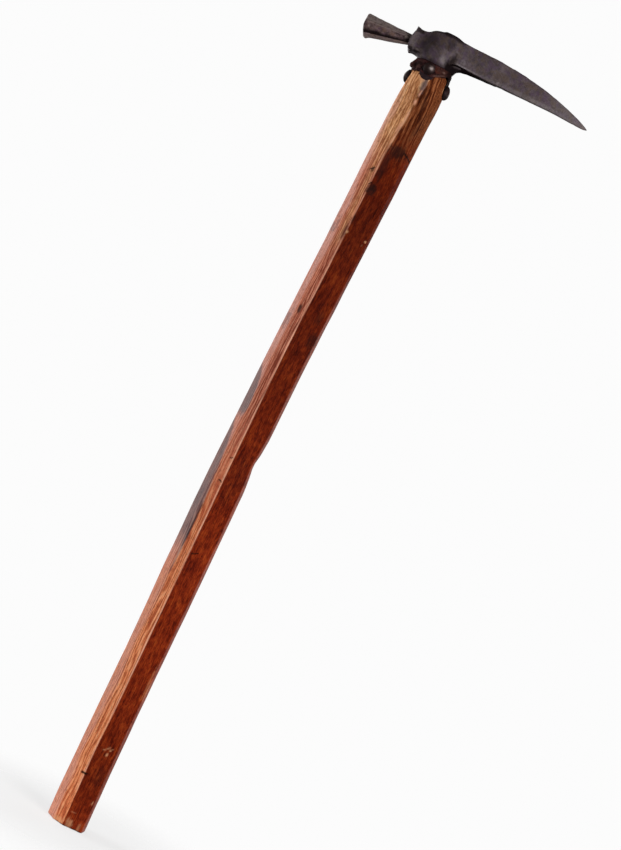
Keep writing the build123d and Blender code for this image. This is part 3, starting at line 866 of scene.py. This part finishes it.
# how the band's lower edge rises towards the pick side, along x
BAND_EDGE = ((1.0, -1.7), (5.0, -0.3), (10.0, 2.3), (13.2, 3.9), (14.8, 6.0), (17.0, 6.6), (24.0, 6.9))


def band_field(x, y, z):
    """The iron band: a rolled lower edge that rises on the front, and a corner turned out."""
    bx = x + 0.6
    outer = ((np.abs(bx) / 19.9) ** 3.4 + (np.abs(y) / 19.4) ** 3.4) ** (1 / 3.4) * 19.9 - 19.9
    taper = np.clip((z + 2.0) / 14.0, 0.0, 1.0)
    inner = ((np.abs(x + 3.0 * taper) / 18.6) ** 2.8 + (np.abs(y) / 18.0) ** 2.8) ** (1 / 2.8) * 18.6
    inner = inner - (18.9 - 3.6 * taper)
    low = -1.7 + (through(x, BAND_EDGE) + 1.7) * np.where(x > 0.0, smooth_step(7.5, 4.5, y), 0.0)
    outer = outer - 0.9 * bump(z - low, 1.7, 1.7) + 0.9 * smooth_step(8.0, 12.5, z)
    ring = soft_max(soft_max(outer, -inner, 0.6), np.maximum(low - z, z - 12.3), 1.0)
    sides = ((-23.9, 1.9, -0.12, -0.99), (-25.6, 4.2, -0.80, -0.60), (-25.4, 4.9, -0.78, 0.62),
             (-21.4, 9.6, -0.86, 0.50), (-19.0, 11.7, 0.0, 1.0), (-14.0, 5.0, 1.0, 0.0))
    flap = np.full_like(x, -50.0)
    for px, pz, nx, nz in sides:
        flap = soft_max(flap, (x - px) * nx + (z - pz) * nz, 0.8)
    flap = soft_max(flap, np.maximum(y - 3.2 - 0.10 * (z - 5.0), -13.2 - y), 1.2)
    flap = soft_max(flap, -inner, 0.6)
    return soft_min(ring, flap, 1.0)


def make_band(material):
    points, faces = solid_from_field(band_field, (-28.5, -22.5, -4.5), (21.5, 22.5, 14.5), 0.5)
    points = add_relief(points, faces, ((7.0, 0.45, 61), (2.6, 0.34, 62), (1.3, 0.16, 63)))
    x, y, z = points.T
    blotchy = noise(points, 3.4, 64) + 0.5 * noise(points, 1.4, 65)
    front = smooth_step(-6.0, -12.0, y)
    # dark rust patches, and painted shade under the front nail, along the top under the eye and on the
    # pick side
    shade = np.maximum.reduce([
        0.70 * smooth_step(-0.1, 0.7, blotchy),
        0.90 * blot(x, z, (-5.0, 3.6, 8.0, 1.8), 0.3 * blotchy, 0.5) * front,
        0.85 * smooth_step(10.5, 12.5, z),
        0.85 * smooth_step(12.0, 16.0, x)])
    # painted highlights: a line along the rolled lower edge and a spot above it
    highlight_and_wear = 0.55 * bump(z, through(x, BAND_EDGE) + 1.8, 0.9) * smooth_step(1.0, 4.0, x) * front
    highlight_and_wear = highlight_and_wear + 0.8 * blot(x, z, (10.9, 7.8, 1.6, 1.0), 0.3 * blotchy, 0.5) * front
    highlight_and_wear = highlight_and_wear * smooth_step(13.5, 11.5, x)
    points[:, 2] += NECK
    band = make_piece("rusty_band", points, faces)
    paint(band, {"shade": shade, "highlight_and_wear": highlight_and_wear})
    return stand_in(band, "neck_collar", material)


def make_strap(node, seed, dark_iron_and_shade, material):
    """The CAD strap with its edges hammered soft."""
    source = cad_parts[node]
    mesh = source.data.copy()
    mesh.materials.clear()
    work = add_object("strap_work", mesh)
    weld = work.modifiers.new("weld", "WELD")
    weld.merge_threshold = 0.01 * MM
    remesh = work.modifiers.new("remesh", "REMESH")
    remesh.mode = "VOXEL"
    remesh.voxel_size = 0.45 * MM
    soften = work.modifiers.new("soften", "SMOOTH")
    soften.iterations = 3
    soften.factor = 0.5
    seen = work.evaluated_get(bpy.context.evaluated_depsgraph_get()).to_mesh()
    points = np.array([v.co for v in seen.vertices]) / MM
    faces = [tuple(p.vertices) for p in seen.polygons]
    bpy.data.objects.remove(work)
    points = add_relief(points, faces, ((6.0, 0.18, seed), (2.0, 0.08, seed + 1)))
    strap = make_piece(node + "_strap", points, faces)
    patchy = noise(points, 3.0, seed + 2)
    # darker iron, and on the pick side mostly painted shade
    paint(strap, {"shade": dark_iron_and_shade * (0.9 + 0.3 * patchy)})
    return stand_in(strap, node, material)


SHANK_RADIUS, SHANK_LENGTH = 1.8, 14.0


def make_nail(node, place, angle, dome_radius, dome_height, seed, material):
    """A nail with a hammered dome head, standing out of the wood at an angle round the shaft."""
    base = np.array([place[0], place[1], NECK + place[2]])
    out = np.array([math.cos(math.radians(angle)), math.sin(math.radians(angle)), 0.0])
    side = np.cross([0.0, 0.0, 1.0], out)
    profile = [(0.4, -SHANK_LENGTH), (1.1, 0.9 - SHANK_LENGTH), (SHANK_RADIUS, 2.6 - SHANK_LENGTH),
               (SHANK_RADIUS, -0.3), (SHANK_RADIUS + 0.2, 0.0), (4.5, 0.0), (dome_radius - 0.5, 0.0)]
    profile += [(dome_radius * math.cos(t), 0.45 + (dome_height - 0.5) * math.sin(t) ** 0.92)
                for t in np.linspace(0.0, 1.45, 14)]
    turn = np.linspace(0, 2 * math.pi, 40, endpoint=False)
    rings = []
    for radius, height in profile:
        ring = (base + out * height + np.outer(radius * np.cos(turn), side)
                + np.outer(radius * np.sin(turn), np.cross(out, side)))
        rings.append(ring)
    points, faces = ring_loft(rings)
    shown = smooth_step(-0.5, 0.3, (points - base) @ out)
    rough = add_relief(points, faces, ((5.0, 0.42, seed), (2.0, 0.14, seed + 1)))
    points = points + (rough - points) * shown[:, None]
    nail = make_piece(node + "_dome", points, faces)
    # painted highlight: a bright spot up and to one side on the dome
    bright = base + side * 2.2 + np.array([0.0, 0.0, 1.0]) + out * dome_height
    highlight_and_wear = 0.8 * bump(np.linalg.norm(points - bright, axis=1), 0.0, 1.9)
    patchy = noise(points, 2.6, seed + 2)
    # dark patina over the nail, and painted shade on its lower part
    shade = np.maximum(0.55 + 0.30 * patchy, 0.8 * smooth_step(-1.0, -4.0, points[:, 2] - base[2]))
    paint(nail, {"highlight_and_wear": highlight_and_wear, "shade": shade * (1.0 - highlight_and_wear)})
    return stand_in(nail, node, material)


# ---------------- studio

def make_floor():
    """A plain pale disc under the foot that fades out at its rim."""
    g = Graph(bpy.data.materials.new("pale_floor"))
    far = g.math("SQRT", g.math("ADD", *(g.math("POWER", g.axis(index), 2.0) for index in (0, 1))))
    plain = g.by_name(g.node("ShaderNodeBsdfDiffuse"), Color=(0.9, 0.9, 0.9, 1.0))
    glow = g.by_name(g.node("ShaderNodeEmission"), Color=(0.97, 0.97, 0.97, 1.0))
    pale = g.in_order(g.node("ShaderNodeMixShader"), 0.7, plain, glow)
    clear = g.node("ShaderNodeBsdfTransparent").outputs[0]
    blend = g.in_order(g.node("ShaderNodeMixShader"), g.level(far, 0.05, 0.22, 0.9, 0.0), clear, pale)
    g.feed(g.node("ShaderNodeOutputMaterial").inputs["Surface"], blend)
    count, radius, below = 96, 240.0, -0.2
    angles = np.linspace(0, 2 * math.pi, count, endpoint=False)
    rim = np.column_stack([radius * np.cos(angles), radius * np.sin(angles), np.full(count, below)])
    floor = make_piece("studio_floor", rim, [tuple(range(count))], smooth=False)
    floor.data.materials.append(g.owner)


def make_world():
    """White to the eye; as light, a dim room over a pale floor."""
    world = bpy.data.worlds.new("studio")
    g = Graph(world, "Generated")
    rise = g.by_name(g.node("ShaderNodeMapRange"), Value=g.axis(2), From_Min=-0.92, From_Max=-0.60,
                     To_Min=0.60, To_Max=0.11)
    fill = g.by_name(g.node("ShaderNodeBackground"), Color=(1.0, 0.985, 0.98, 1.0), Strength=rise)
    seen = g.by_name(g.node("ShaderNodeBackground"), Color=(0.973, 0.973, 0.973, 1.0))
    to_eye = g.node("ShaderNodeLightPath").outputs["Is Camera Ray"]
    both = g.in_order(g.node("ShaderNodeMixShader"), to_eye, fill, seen)
    g.feed(g.node("ShaderNodeOutputWorld").inputs["Surface"], both)
    bpy.context.scene.world = world


def soft_box(name, place, target, size, power):
    light = bpy.data.lights.new(name, "AREA")
    light.shape = "RECTANGLE"
    light.size, light.size_y = size
    light.energy = power
    holder = add_object(name, light)
    holder.location = place
    aim = np.array(target) - np.array(place)
    holder.rotation_euler = Vector(aim).to_track_quat("-Z", "Y").to_euler()
    holder.visible_camera = False


LEAN = math.radians(26.07)        # how far the shaft leans in the picture
DISTANCE = 2.0                    # from the lens to the axe
VIEW_X, VIEW_Z = 0.0464, 0.4784   # the point at the picture's centre
VIEW_HEIGHT = 0.8755              # what the picture's height takes in at that distance


def make_camera():
    lens = bpy.data.cameras.new("camera")
    lens.sensor_width = 36.0
    lens.lens = 36.0 * DISTANCE / VIEW_HEIGHT
    lens.clip_start, lens.clip_end = 0.05, 50.0
    camera = add_object("camera", lens)
    c, s = math.cos(LEAN), math.sin(LEAN)
    camera.matrix_world = Matrix(((c, -s, 0.0, VIEW_X), (0.0, 0.0, -1.0, -DISTANCE),
                                  (s, c, 0.0, VIEW_Z), (0, 0, 0, 1)))
    bpy.context.scene.camera = camera


make_camera()
make_world()
make_floor()
soft_box("left_box", (-1.9, 0.15, 0.55), (0.0, 0.0, 0.42), (0.9, 1.5), 38.0)
soft_box("right_box", (1.35, -1.55, 0.75), (0.0, 0.0, 0.45), (1.1, 1.6), 43.0)
soft_box("back_right", (1.5, 1.5, 0.8), (0.0, 0.0, 0.5), (1.0, 1.6), 9.0)
soft_box("back_left", (-1.0, 1.8, 1.0), (0.0, 0.0, 0.5), (1.0, 1.4), 9.0)

wood = wood_material()
iron = iron_material("forged_iron", (0.034, 0.021, 0.024), (0.062, 0.041, 0.046), (0.104, 0.074, 0.082),
                     (0.088, 0.046, 0.040), 0.16, (0.180, 0.153, 0.158), 0.12, 0.35, 0.46, 0.5)
# the bit's iron: its paler worn colour is brighter than the head's, painted light for facets the lamps
# leave dim
poll_iron = iron_material("bit_iron_worn_and_lit", (0.022, 0.011, 0.012), (0.078, 0.043, 0.043),
                          (0.165, 0.110, 0.106), (0.092, 0.046, 0.036), 0.14, (0.270, 0.212, 0.196),
                          0.12, 0.40, 0.44, 0.4)
rust_iron = iron_material("rusted_iron", (0.0110, 0.0026, 0.0020), (0.0340, 0.0085, 0.0065),
                          (0.080, 0.026, 0.021), (0.100, 0.020, 0.011), 0.20, (0.150, 0.082, 0.066),
                          0.30, 0.10, 0.55, 0.18)
strap_iron = iron_material("strap_iron", (0.014, 0.006, 0.006), (0.026, 0.012, 0.012),
                           (0.048, 0.026, 0.028), (0.060, 0.016, 0.011), 0.16, (0.120, 0.070, 0.060),
                           0.14, 0.30, 0.52, 0.3)
# the nails' worn colour is near white: a painted highlight
nail_iron = iron_material("nail_iron", (0.009, 0.003, 0.003), (0.024, 0.008, 0.007),
                          (0.055, 0.024, 0.022), (0.060, 0.014, 0.010), 0.18, (0.560, 0.470, 0.450),
                          0.14, 0.25, 0.42, 0.35)

make_shaft(wood)
make_head(iron)
make_bit(poll_iron)
make_band(rust_iron)
# how much darker each strap is painted: dark iron, and on the pick side mostly painted shade
STRAPS = (("front_langet", 0.45), ("rear_langet", 0.45), ("pick_side_langet", 0.85),
          ("poll_side_langet", 0.6))
for seed, (node, dark_iron_and_shade) in enumerate(STRAPS):
    make_strap(node, 71 + 3 * seed, dark_iron_and_shade, strap_iron)
# place from the neck, direction in degrees, dome radius and dome height
NAILS = (("front_nail", (-4.6, -19.9, 4.6), 270, 6.4, 4.4),
         ("rear_nail", (-3.0, 19.9, 4.6), 90, 6.4, 4.4),
         ("pick_side_nail", (20.24, -4.10, -7.7), -10, 7.4, 5.3),
         ("poll_side_nail", (-20.3, 0.0, -7.7), 180, 7.4, 5.3))
for seed, (node, place, angle, radius, height) in enumerate(NAILS):
    make_nail(node, place, angle, radius, height, 91 + 3 * seed, nail_iron)

bpy.context.scene.view_settings.view_transform = "Standard"
